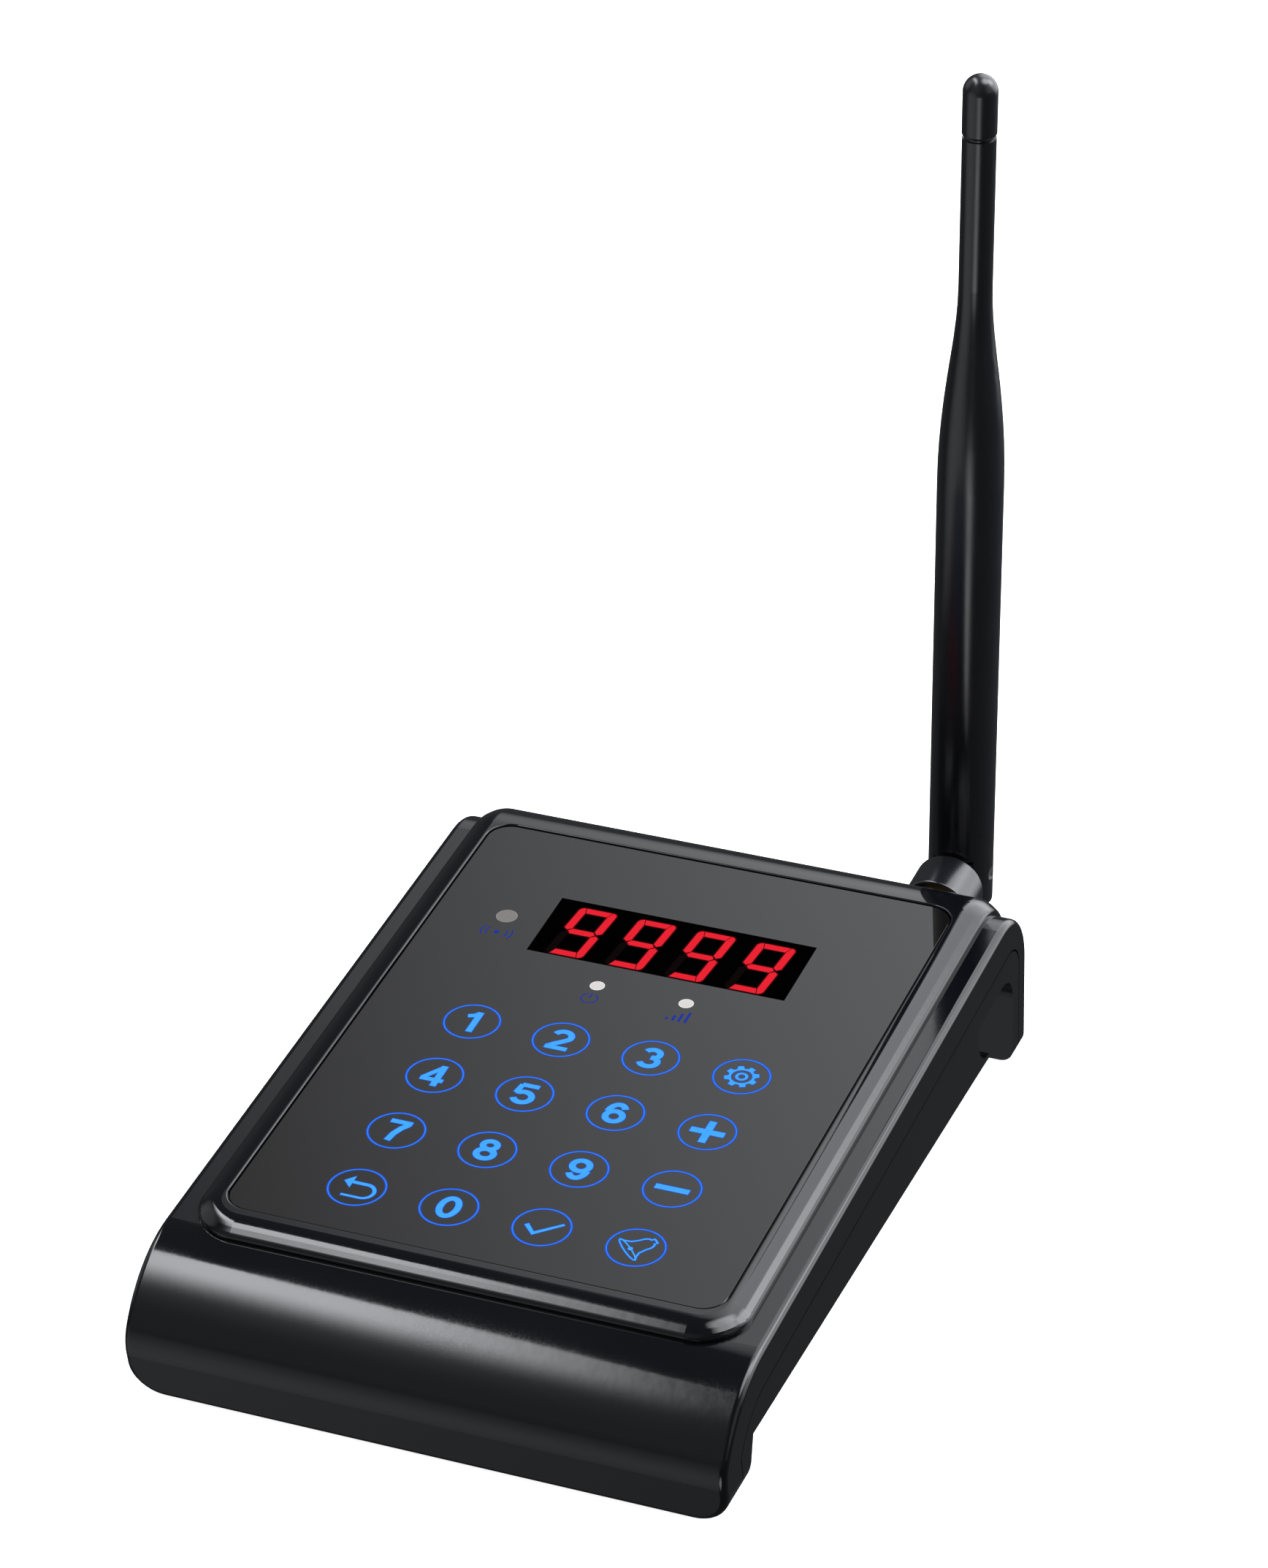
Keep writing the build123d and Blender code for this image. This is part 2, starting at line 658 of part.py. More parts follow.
with BuildPart() as antenna_connector:
    with BuildSketch(aerial.offset(barrel_start)):
        RegularPolygon(connector_flat, 6, major_radius=False)
    extrude(amount=connector_flange)
    with BuildSketch(aerial.offset(barrel_start)):
        Circle(barrel_radius)
    extrude(amount=sleeve_start + sleeve_length - barrel_start)
    with BuildSketch(aerial.offset(sleeve_start + sleeve_length - 4)):
        Circle(2.3)
        Circle(0.6, mode=Mode.SUBTRACT)
    extrude(amount=5, mode=Mode.SUBTRACT)
export(antenna_connector, "antenna_connector")

with BuildPart() as connector_washer:
    with BuildSketch(aerial.offset(washer_start)):
        Circle(5.4)
        Circle(barrel_radius + hole_gap, mode=Mode.SUBTRACT)
    extrude(amount=washer_thickness)
export(connector_washer, "connector_washer")

with BuildPart() as connector_nut:
    with BuildSketch(aerial.offset(nut_start)):
        RegularPolygon(connector_flat, 6, major_radius=False)
        Circle(barrel_radius + thread_gap, mode=Mode.SUBTRACT)
    extrude(amount=nut_thickness)
export(connector_nut, "connector_nut")

with BuildPart() as coupling_sleeve:
    with BuildSketch(aerial.offset(sleeve_start)):
        Circle(sleeve_radius)
        Circle(barrel_radius + thread_gap, mode=Mode.SUBTRACT)
    extrude(amount=sleeve_length)
export(coupling_sleeve, "coupling_sleeve")

# Thin coaxial lead from the connector to the radio board, inside the case all the way.
lead_high = main_top + 2.9
with BuildPart() as radio_lead:
    with BuildLine() as lead_path:
        FilletPolyline(
            deck.from_local_coords(Vector(antenna_u, barrel_start + 0.9, connector_flat - antenna_drop)),
            deck.from_local_coords(Vector(antenna_u, barrel_start - 0.4, lead_high - 1.6)),
            deck.from_local_coords(Vector(antenna_u, rear_v + 3, lead_high)),
            deck.from_local_coords(Vector(antenna_u, rf_v + 11, lead_high)),
            deck.from_local_coords(Vector(antenna_u, rf_v + 8, main_top + 1.0)),
            radius=1.8,
        )
    with BuildSketch(Plane(origin=lead_path.line @ 0, z_dir=lead_path.line % 0)):
        Circle(0.55)
    sweep()
export(radio_lead, "radio_lead")

# ---------------------------------------------------------------- antenna
knuckle_end = pivot_v - whip_radius - turn_gap
tongue_half = fork_slot / 2 - tongue_gap
tongue_radius = whip_radius - fork_wall - turn_gap
pivot = deck.from_local_coords(Vector(antenna_u, pivot_v, -antenna_drop))
whip_up = Vector(0, 0, 1)    # the whip stands plumb
whip = Plane(origin=pivot, x_dir=(1, 0, 0), z_dir=whip_up)
hinge = Plane(origin=pivot, x_dir=deck.y_dir, z_dir=(1, 0, 0))

with BuildPart() as antenna_knuckle:
    with BuildSketch(aerial.offset(knuckle_start)):
        Circle(knuckle_radius)
    extrude(amount=knuckle_end - knuckle_start)
    rims = antenna_knuckle.edges().filter_by(GeomType.CIRCLE)
    fillet(rims, 0.4)
    with BuildSketch(aerial.offset(knuckle_start)):
        Circle(sleeve_radius + running_gap)
    extrude(amount=sleeve_start + sleeve_length + turn_gap - knuckle_start, mode=Mode.SUBTRACT)
    with BuildSketch(hinge):
        with Locations((-whip_radius / 2 - turn_gap, 0)):
            Rectangle(whip_radius + 2 * turn_gap, 2 * tongue_radius)
        Circle(tongue_radius)
    extrude(amount=tongue_half, both=True)
    with BuildSketch(hinge):
        Circle(pin_radius + running_gap)
    extrude(amount=knuckle_radius, both=True, mode=Mode.SUBTRACT)
export(antenna_knuckle, "antenna_knuckle")

with BuildPart() as hinge_pin:
    with BuildSketch(hinge):
        Circle(pin_radius)
    extrude(amount=pin_half, both=True)
export(hinge_pin, "hinge_pin")

whip_side = Plane(origin=pivot, x_dir=(1, 0, 0), z_dir=-Vector(whip_up.cross(Vector(1, 0, 0))))
with BuildPart() as whip_sleeve:
    with BuildSketch(whip_side):
        with BuildLine():
            Line((0, -whip_radius), (whip_radius, -whip_radius))
            Line((whip_radius, -whip_radius), (whip_radius, taper_start))
            Spline(
                (whip_radius, taper_start),
                ((whip_radius + neck_radius) / 2, taper_middle),
                (neck_radius, taper_end),
                tangents=((0, 1), (0, 1)),
            )
            Line((neck_radius, taper_end), (neck_radius, tip_start))
            Line((neck_radius, tip_start), (0, tip_start))
            Line((0, tip_start), (0, -whip_radius))
        make_face()
    revolve(axis=Axis(pivot, whip_up))
    with BuildSketch(hinge):
        Rectangle(8 * whip_radius, 8 * whip_radius)
        Circle(whip_radius, mode=Mode.SUBTRACT)
        with Locations((0, 4 * whip_radius)):
            Rectangle(8 * whip_radius, 8 * whip_radius, mode=Mode.SUBTRACT)
    extrude(amount=2 * whip_radius, both=True, mode=Mode.SUBTRACT)
    slot_round = whip_radius - fork_wall
    whip_across = Plane(origin=pivot, x_dir=whip_up.cross(Vector(1, 0, 0)), z_dir=(1, 0, 0))
    with BuildSketch(whip_across):
        with Locations((-whip_radius, -whip_radius / 2)):
            Rectangle(2 * whip_radius, whip_radius + 2 * slot_round)
        with Locations((-whip_radius, -whip_radius)):
            Rectangle(2 * (whip_radius + slot_round), 2 * whip_radius)
        Circle(slot_round)
    extrude(amount=fork_slot / 2, both=True, mode=Mode.SUBTRACT)
    with BuildSketch(hinge):
        Circle(pin_radius + thread_gap)
    extrude(amount=2 * whip_radius, both=True, mode=Mode.SUBTRACT)
    with BuildSketch(whip.offset(element_start)):
        Circle(element_radius + thread_gap)
    extrude(amount=whip_length, mode=Mode.SUBTRACT)
export(whip_sleeve, "whip_sleeve")

with BuildPart() as whip_element:
    with BuildSketch(whip.offset(element_start)):
        Circle(element_radius)
    extrude(amount=tip_start + 3 - element_start)
export(whip_element, "whip_element")

with BuildPart() as whip_tip:
    with BuildSketch(whip_side):
        with BuildLine():
            Line((0, tip_start), (groove_radius, tip_start))
            Line((groove_radius, tip_start), (groove_radius, tip_start + groove_width))
            Line((groove_radius, tip_start + groove_width), (tip_radius - 0.3, tip_start + groove_width))
            Line((tip_radius - 0.3, tip_start + groove_width), (tip_radius, tip_start + groove_width + 0.5))
            dome = whip_length - whip_radius - tip_radius
            Line((tip_radius, tip_start + groove_width + 0.5), (tip_radius, dome))
            RadiusArc((tip_radius, dome), (0, dome + tip_radius), -tip_radius)
            Line((0, dome + tip_radius), (0, tip_start))
        make_face()
    revolve(axis=Axis(pivot, whip_up))
    with BuildSketch(whip.offset(tip_start)):
        Circle(element_radius + thread_gap)
    extrude(amount=3, mode=Mode.SUBTRACT)
export(whip_tip, "whip_tip")
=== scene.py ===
import bpy
from math import sin, cos, tan, pi, radians, hypot
from mathutils import Matrix, Vector


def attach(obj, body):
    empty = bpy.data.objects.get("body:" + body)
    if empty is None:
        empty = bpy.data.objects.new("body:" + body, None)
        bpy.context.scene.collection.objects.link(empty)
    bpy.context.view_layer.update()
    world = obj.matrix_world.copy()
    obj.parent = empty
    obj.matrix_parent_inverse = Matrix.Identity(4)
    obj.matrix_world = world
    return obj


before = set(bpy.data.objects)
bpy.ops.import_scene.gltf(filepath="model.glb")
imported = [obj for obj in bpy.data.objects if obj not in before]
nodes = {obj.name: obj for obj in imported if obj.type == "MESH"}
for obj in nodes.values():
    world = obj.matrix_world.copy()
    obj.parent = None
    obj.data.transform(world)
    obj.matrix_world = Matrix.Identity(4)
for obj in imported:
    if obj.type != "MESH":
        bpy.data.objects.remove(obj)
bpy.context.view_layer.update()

# ------------------------------------------------------------------ studio
# A desk paging transmitter on a white paper sweep. The gloss black case mirrors a dim room,
# a pale wall and a softbox behind to the right, and a lamp overhead with a hard rear edge.
MM = 0.001


def paint(code):
    """An sRGB hex colour as linear RGBA."""
    part = [int(code[i:i + 2], 16) / 255 for i in (1, 3, 5)]
    return [c / 12.92 if c <= 0.04045 else ((c + 0.055) / 1.055) ** 2.4 for c in part] + [1.0]


def add(tree, kind, put=None, **settings):
    """Adds a node; put fills or links its inputs by name or number."""
    made = tree.nodes.new(kind)
    for key, value in settings.items():
        setattr(made, key, value)
    for key, value in (put or {}).items():
        if isinstance(value, bpy.types.NodeSocket):
            tree.links.new(value, made.inputs[key])
        else:
            made.inputs[key].default_value = value
    return made


scene = bpy.context.scene
scene.view_settings.view_transform = "Standard"

# the camera: a long lens in front, to the right and above; its place in metres and its axes
eye = Vector((0.32664, -0.82115, 0.59383))
right = Vector((0.931758, 0.363008, -0.007245))
up = Vector((-0.175076, 0.466682, 0.866923))
camera_data = bpy.data.cameras.new("camera")
camera_data.lens = 127.863
camera_data.sensor_width = 36.0
camera_data.clip_start = 0.05
camera = bpy.data.objects.new("camera", camera_data)
scene.collection.objects.link(camera)
back = right.cross(up)
camera.matrix_world = Matrix.Translation(eye) @ Matrix((right, up, back)).transposed().to_4x4()
scene.camera = camera

world = bpy.data.worlds.new("studio")
scene.world = world
world.use_nodes = True
sky = world.node_tree
sky.nodes.clear()
# the room, as radiance by direction
way = add(sky, "ShaderNodeTexCoord").outputs["Generated"]
split = add(sky, "ShaderNodeSeparateXYZ", {0: way})
ROOM, ROOM_LOW = 0.10, 0.07          # radiance of the room above and below the table line
glow = add(sky, "ShaderNodeMapRange", {0: split.outputs["Z"], 1: -0.12, 2: 0.02, 3: ROOM_LOW, 4: ROOM},
           interpolation_type="SMOOTHSTEP").outputs[0]
# each soft lamp: direction, cosine at its rim, cosine where it is full, radiance
LAMPS = [
    ((0.42, 0.78, 0.47), 0.64, 0.84, 2.7),        # pale wall behind, brighter to the right
    ((0.60, 0.53, 0.60), 0.955, 0.978, 4.5),      # softbox behind, to the right
    ((0.34, 0.15, 0.93), 0.93, 0.98, 5.0),        # small overhead lamp, right of the middle
    ((-0.30, -0.80, 0.45), 0.75, 0.97, 0.16),     # pale wall in front
    ((-0.90, 0.10, 0.40), 0.88, 0.96, 0.5),       # fill from the left
    ((0.92, -0.10, 0.38), 0.88, 0.96, 0.4),       # fill from the right
    ((0.16, -0.80, -0.58), 0.955, 0.99, 2.4),     # bright table top in front
    ((-0.55, -0.70, -0.46), 0.80, 0.97, 0.5),     # table top on the left
]
for toward, rim, full, power in LAMPS:
    aim = Vector(toward).normalized()
    near = add(sky, "ShaderNodeVectorMath", {0: way, 1: aim}, operation="DOT_PRODUCT").outputs["Value"]
    lobe = add(sky, "ShaderNodeMapRange", {0: near, 1: rim, 2: full, 3: 0.0, 4: power}).outputs[0]
    glow = add(sky, "ShaderNodeMath", {0: glow, 1: lobe}, operation="ADD").outputs[0]

# the overhead lamp, left of the middle: a hard rear edge, a bright core and a long skirt.
# Its turn is the angle round the X axis, from level in front over the top to the back.
flip = add(sky, "ShaderNodeMath", {0: split.outputs["Y"], 1: -1.0}, operation="MULTIPLY").outputs[0]
turn = add(sky, "ShaderNodeMath", {0: split.outputs["Z"], 1: flip}, operation="ARCTAN2").outputs[0]
SKEW, SKEW_START = 2.4, 0.804             # radians the lamp's edge turns from left to right
REAR_EDGE = radians(86.3), radians(87.7)  # the narrow turn in which its light ends
NEAR_SIDE, FAR_SIDE = (-0.35, -0.27), (-0.70, -0.55)   # its soft ends, by X
CORE, SKIRT = (44, 76, 8.0), (20, 74, 1.2)             # degrees from dark to full, radiance
skew = add(sky, "ShaderNodeMath", {0: split.outputs["X"], 1: SKEW, 2: SKEW_START},
           operation="MULTIPLY_ADD").outputs[0]
turn = add(sky, "ShaderNodeMath", {0: turn, 1: skew}, operation="ADD").outputs[0]
edge = add(sky, "ShaderNodeMapRange",
           {0: turn, 1: REAR_EDGE[0], 2: REAR_EDGE[1], 3: 1.0, 4: 0.0}).outputs[0]
near_side = add(sky, "ShaderNodeMapRange",
                {0: split.outputs["X"], 1: NEAR_SIDE[0], 2: NEAR_SIDE[1], 3: 1.0, 4: 0.0},
                interpolation_type="SMOOTHSTEP").outputs[0]
far_side = add(sky, "ShaderNodeMapRange",
               {0: split.outputs["X"], 1: FAR_SIDE[0], 2: FAR_SIDE[1], 3: 0.0, 4: 1.0},
               interpolation_type="SMOOTHSTEP").outputs[0]
for low, high, power in (CORE, SKIRT):
    fade = add(sky, "ShaderNodeMapRange", {0: turn, 1: radians(low), 2: radians(high), 3: 0.0, 4: 1.0},
               interpolation_type="SMOOTHSTEP").outputs[0]
    lobe = add(sky, "ShaderNodeMath", {0: fade, 1: 2.0}, operation="POWER").outputs[0]
    for part in (edge, near_side, far_side, power):
        lobe = add(sky, "ShaderNodeMath", {0: lobe, 1: part}, operation="MULTIPLY").outputs[0]
    glow = add(sky, "ShaderNodeMath", {0: glow, 1: lobe}, operation="ADD").outputs[0]
dome = add(sky, "ShaderNodeBackground", {"Color": paint("#F4F6FA"), "Strength": glow})
add(sky, "ShaderNodeOutputWorld", {"Surface": dome.outputs[0]})

# the sweep: a wide pale sheet that curls up far away on every side; reach and height in metres
rings = [(0.0, 0.0), (1.2, 0.0), (2.4, 0.0), (3.0, 0.10), (3.5, 0.42), (3.85, 1.0), (4.0, 1.8), (4.0, 3.2)]
around = 96
verts, faces = [(0.0, 0.0, 0.0)], []
for reach, high in rings[1:]:
    verts += [(reach * cos(2 * pi * i / around), reach * sin(2 * pi * i / around), high)
              for i in range(around)]
for i in range(around):
    j = (i + 1) % around
    faces.append((0, 1 + i, 1 + j))
    for k in range(len(rings) - 2):
        low, high = 1 + k * around, 1 + (k + 1) * around
        faces.append((low + i, high + i, high + j, low + j))
sweep_mesh = bpy.data.meshes.new("sweep")
sweep_mesh.from_pydata(verts, [], faces)
sweep_mesh.polygons.foreach_set("use_smooth", [True] * len(faces))
sweep = bpy.data.objects.new("sweep", sweep_mesh)
scene.collection.objects.link(sweep)
sweep.visible_glossy = False
sweep.visible_shadow = False
sweep.visible_diffuse = False
sweep.visible_transmission = False
sweep_paper = bpy.data.materials.new("white paper sweep")
sweep_paper.use_nodes = True
shade = sweep_paper.node_tree.nodes["Principled BSDF"]
shade.inputs["Base Color"].default_value = paint("#F6F6F6")
shade.inputs["Roughness"].default_value = 0.9
shade.inputs["Specular IOR Level"].default_value = 0.1
shade.inputs["Emission Color"].default_value = paint("#FFFFFF")
shade.inputs["Emission Strength"].default_value = 0.93
sweep_mesh.materials.append(sweep_paper)

# ------------------------------------------------------------------ case shells
# Top and bottom shells of the case: gloss black ABS, injection moulded in polished tools
# and closed by four screws from below. The eye sees deep black with faint orange peel.


def start(name):
    """A new material: its tree, its shader and coordinates in metres."""
    made = bpy.data.materials.new(name)
    made.use_nodes = True
    tree = made.node_tree
    place = add(tree, "ShaderNodeTexCoord").outputs["Object"]
    return made, tree, tree.nodes["Principled BSDF"], place


def dress(material, *names):
    """Puts a material into every slot of the named CAD nodes."""
    for name in names:
        for slot in nodes[name].material_slots:
            slot.material = material


gloss_abs, tree, shade, place = start("polished black ABS")
shade.inputs["IOR"].default_value = 1.54
PEEL, PEEL_HEIGHT = 2.4 * MM, 0.0035 * MM          # orange peel: wave length and height
SCUFF = 0.35 * MM                                  # handling scuffs, drawn coarser than real
peel = add(tree, "ShaderNodeTexNoise", {"Vector": place, "Scale": 1 / PEEL, "Detail": 1.0})
smear = add(tree, "ShaderNodeTexNoise", {"Vector": place, "Scale": 1 / (28 * MM), "Detail": 3.0})
scuff = add(tree, "ShaderNodeTexNoise", {"Vector": place, "Scale": 1 / SCUFF, "Detail": 2.0})
rub = add(tree, "ShaderNodeMath", {0: smear.outputs["Fac"], 1: scuff.outputs["Fac"]}, operation="MULTIPLY")
rough = add(tree, "ShaderNodeMapRange", {0: rub.outputs[0], 1: 0.15, 2: 0.45, 3: 0.055, 4: 0.12})
tree.links.new(rough.outputs[0], shade.inputs["Roughness"])
tone = add(tree, "ShaderNodeMix", {0: smear.outputs["Fac"], 6: paint("#08090D"), 7: paint("#0B0C11")},
           data_type="RGBA")
tree.links.new(tone.outputs[2], shade.inputs["Base Color"])
wave = add(tree, "ShaderNodeBump",
           {"Height": peel.outputs["Fac"], "Strength": 1.0, "Distance": PEEL_HEIGHT})
tree.links.new(wave.outputs[0], shade.inputs["Normal"])
dress(gloss_abs, "top_shell", "bottom_shell")

# ------------------------------------------------------------------ rubber feet
# Four moulded rubber pads pressed into pockets under the lip and the legs.
# Matt, slightly chalky dark grey with a fine grain.
rubber, tree, shade, place = start("moulded rubber")
grain = add(tree, "ShaderNodeTexNoise", {"Vector": place, "Scale": 1 / (0.4 * MM), "Detail": 3.0})
tone = add(tree, "ShaderNodeMix", {0: grain.outputs["Fac"], 6: paint("#151515"), 7: paint("#222222")},
           data_type="RGBA")
tree.links.new(tone.outputs[2], shade.inputs["Base Color"])
shade.inputs["Roughness"].default_value = 0.85
wave = add(tree, "ShaderNodeBump", {"Height": grain.outputs["Fac"], "Strength": 0.6, "Distance": 0.05 * MM})
tree.links.new(wave.outputs[0], shade.inputs["Normal"])
dress(rubber, "rubber_feet")

# ------------------------------------------------------------------ screws and tinned steel
# Nickel-plated steel: the case and board screws, hinge pin, spring washer, crystal can
# and radio shield. Bright grey with fine turning marks.
steel, tree, shade, place = start("nickel-plated steel")
marks = add(tree, "ShaderNodeTexNoise", {"Vector": place, "Scale": 1 / (0.25 * MM), "Detail": 4.0})
shade.inputs["Metallic"].default_value = 1.0
tone = add(tree, "ShaderNodeMix", {0: marks.outputs["Fac"], 6: paint("#A9A9AA"), 7: paint("#C9C8C5")},
           data_type="RGBA")
tree.links.new(tone.outputs[2], shade.inputs["Base Color"])
rough = add(tree, "ShaderNodeMapRange", {0: marks.outputs["Fac"], 3: 0.22, 4: 0.38})
tree.links.new(rough.outputs[0], shade.inputs["Roughness"])
wave = add(tree, "ShaderNodeBump", {"Height": marks.outputs["Fac"], "Strength": 0.3, "Distance": 0.02 * MM})
tree.links.new(wave.outputs[0], shade.inputs["Normal"])
dress(steel, "case_screws", "board_screws", "connector_washer", "hinge_pin", "crystal", "radio_shield")

# ------------------------------------------------------------------ circuit boards
# Glass-fibre boards under green solder mask: the main board, the touch board behind the
# glass and the small radio board. The weave and the copper tracks show through the mask.
board, tree, shade, place = start("solder-masked board")
tracks = add(tree, "ShaderNodeTexBrick",
             {"Vector": place, "Color1": paint("#0E4A2C"), "Color2": paint("#12583A"),
              "Mortar": paint("#0A3A22"), "Scale": 1.0, "Mortar Size": 0.25 * MM,
              "Brick Width": 6 * MM, "Row Height": 1.6 * MM})
cloth = add(tree, "ShaderNodeTexNoise", {"Vector": place, "Scale": 1 / (0.6 * MM), "Detail": 2.0})
tone = add(tree, "ShaderNodeMix",
           {0: cloth.outputs["Fac"], 6: tracks.outputs["Color"], 7: paint("#0C4026")}, data_type="RGBA")
tree.links.new(tone.outputs[2], shade.inputs["Base Color"])
shade.inputs["Roughness"].default_value = 0.35
wave = add(tree, "ShaderNodeBump",
           {"Height": tracks.outputs["Fac"], "Strength": 0.5, "Distance": 0.035 * MM}, invert=True)
tree.links.new(wave.outputs[0], shade.inputs["Normal"])
dress(board, "main_board", "touch_board", "radio_board")

# ------------------------------------------------------------------ moulded components
# Chips, buzzer, board link and the power socket: black epoxy or glass-filled nylon with
# a fine matt spark texture.
epoxy, tree, shade, place = start("matt black moulding")
spark = add(tree, "ShaderNodeTexNoise", {"Vector": place, "Scale": 1 / (0.3 * MM), "Detail": 3.0})
tone = add(tree, "ShaderNodeMix", {0: spark.outputs["Fac"], 6: paint("#131314"), 7: paint("#202022")},
           data_type="RGBA")
tree.links.new(tone.outputs[2], shade.inputs["Base Color"])
rough = add(tree, "ShaderNodeMapRange", {0: spark.outputs["Fac"], 3: 0.5, 4: 0.7})
tree.links.new(rough.outputs[0], shade.inputs["Roughness"])
wave = add(tree, "ShaderNodeBump", {"Height": spark.outputs["Fac"], "Strength": 0.5, "Distance": 0.03 * MM})
tree.links.new(wave.outputs[0], shade.inputs["Normal"])
dress(epoxy, "microcontroller", "voltage_regulator", "board_link", "buzzer", "power_socket")

# ------------------------------------------------------------------ capacitors
# Two electrolytic capacitors in drawn aluminium cans, with faint draw lines up the side.
can, tree, shade, place = start("drawn aluminium")
draw = add(tree, "ShaderNodeTexNoise", {"Vector": place, "Scale": 1 / (0.5 * MM), "Detail": 2.0})
shade.inputs["Metallic"].default_value = 1.0
tone = add(tree, "ShaderNodeMix", {0: draw.outputs["Fac"], 6: paint("#C4C6C8"), 7: paint("#DCDDDE")},
           data_type="RGBA")
tree.links.new(tone.outputs[2], shade.inputs["Base Color"])
rough = add(tree, "ShaderNodeMapRange", {0: draw.outputs["Fac"], 3: 0.28, 4: 0.42})
tree.links.new(rough.outputs[0], shade.inputs["Roughness"])
dress(can, "capacitors")

# ------------------------------------------------------------------ lamps
# Backlight chips and the two status lamps: milky epoxy with a white diffuser. The link
# lamp on the left is a greyer, unlit lens, given a faint glow all the same: painted glow.


def milky(name, light, dark, glow_strength):
    """A cast epoxy diffuser: cloudy inside, smooth outside."""
    made, tree, shade, place = start(name)
    cloud = add(tree, "ShaderNodeTexNoise", {"Vector": place, "Scale": 1 / (0.5 * MM), "Detail": 3.0})
    tone = add(tree, "ShaderNodeMix", {0: cloud.outputs["Fac"], 6: paint(dark), 7: paint(light)},
               data_type="RGBA")
    tree.links.new(tone.outputs[2], shade.inputs["Base Color"])
    tree.links.new(tone.outputs[2], shade.inputs["Emission Color"])
    shade.inputs["Emission Strength"].default_value = glow_strength
    shade.inputs["Roughness"].default_value = 0.3
    return made


dress(milky("milky epoxy diffuser", "#F2F1EC", "#DEDDD8", 0.85), "key_leds", "power_lamp", "signal_lamp")
# the unlit link lens glows with emission 0.75: painted glow
dress(milky("grey epoxy lens with painted glow", "#8A8886", "#767472", 0.75), "link_lamp")

# ------------------------------------------------------------------ display
# A four-digit seven-segment module: black reflector block under a black face, with red
# bars that glow through it. Each lit bar is a cast red light pipe, here all four nines.
face, tree, shade, place = start("black display face")
fleck = add(tree, "ShaderNodeTexNoise", {"Vector": place, "Scale": 1 / (0.4 * MM), "Detail": 2.0})
tone = add(tree, "ShaderNodeMix", {0: fleck.outputs["Fac"], 6: paint("#010101"), 7: paint("#040303")},
           data_type="RGBA")
tree.links.new(tone.outputs[2], shade.inputs["Base Color"])
shade.inputs["Roughness"].default_value = 0.6
shade.inputs["Specular IOR Level"].default_value = 0.2
dress(face, "display_module")

TILT = radians(3.6)                       # the deck rises to the back
DECK_ZERO = Vector((0.0, -63.4443 * MM, 30.75 * MM))   # front key row, on the glass
deck = Matrix.Translation(DECK_ZERO) @ Matrix.Rotation(TILT, 4, "X")


def circle(radius, centre=(0.0, 0.0), steps=96):
    """Points of a circle."""
    return [(centre[0] + radius * cos(2 * pi * i / steps), centre[1] + radius * sin(2 * pi * i / steps))
            for i in range(steps)]


def arc(centre, across, along, first, last, steps=24):
    """Points of an elliptic arc, angles in degrees."""
    turn = [radians(first + (last - first) * i / steps) for i in range(steps + 1)]
    return [(centre[0] + across * cos(a), centre[1] + along * sin(a)) for a in turn]


def stroke(line, width, end_width=None):
    """The outline of a flat pen line of one width, or one that narrows to end_width."""
    end_width = end_width or width
    left, right_side = [], []
    for i, (x, y) in enumerate(line):
        before, after = line[max(i - 1, 0)], line[min(i + 1, len(line) - 1)]
        sides = []
        for (x0, y0), (x1, y1) in ((before, (x, y)), ((x, y), after)):
            length = hypot(x1 - x0, y1 - y0)
            if length > 0:
                sides.append(Vector((-(y1 - y0) / length, (x1 - x0) / length)))
        out = sum(sides, Vector((0.0, 0.0))).normalized()
        half = (width + (end_width - width) * i / (len(line) - 1)) / 2
        half /= max(out.dot(sides[0]), 0.5)
        left.append((x + out.x * half, y + out.y * half))
        right_side.append((x - out.x * half, y - out.y * half))
    return left + right_side[::-1]


def grow(outline, by):
    """The same closed outline pushed out by a little."""
    area = sum(x0 * y1 - x1 * y0 for (x0, y0), (x1, y1) in zip(outline, outline[1:] + outline[:1]))
    sign = 1 if area > 0 else -1
    pushed = []
    for i, (x, y) in enumerate(outline):
        (x0, y0), (x1, y1) = outline[i - 1], outline[(i + 1) % len(outline)]
        a = Vector((y - y0, x0 - x)).normalized() * sign
        b = Vector((y1 - y, x - x1)).normalized() * sign
        out = (a + b).normalized() if (a + b).length > 1e-6 else a
        step = by / max(out.dot(a), 0.6)
        pushed.append((x + out.x * step, y + out.y * step))
    return pushed


def slab(name, shapes, low, high, material):
    """One thin piece on the deck from filled outlines (mm); each shape is an outline and its holes."""
    corners, polygons = [], []
    for shape in shapes:
        data = bpy.data.curves.new("outline", "CURVE")
        data.dimensions, data.fill_mode = "2D", "BOTH"
        data.extrude = (high - low) / 2 * MM
        for outline in shape:
            line = data.splines.new("POLY")
            line.points.add(len(outline) - 1)
            line.use_cyclic_u = True
            for point, (x, y) in zip(line.points, outline):
                point.co = (x * MM, y * MM, 0.0, 1.0)
        holder = bpy.data.objects.new("outline", data)
        mesh = bpy.data.meshes.new_from_object(holder)
        base = len(corners)
        corners += [(v.co.x, v.co.y, v.co.z + (low + high) / 2 * MM) for v in mesh.vertices]
        polygons += [tuple(base + i for i in p.vertices) for p in mesh.polygons]
        bpy.data.objects.remove(holder)
        bpy.data.curves.remove(data)
        bpy.data.meshes.remove(mesh)
    mesh = bpy.data.meshes.new(name)
    mesh.from_pydata(corners, [], polygons)
    mesh.transform(deck)
    mesh.materials.append(material)
    piece = bpy.data.objects.new(name, mesh)
    scene.collection.objects.link(piece)
    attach(piece, "case")
    return piece


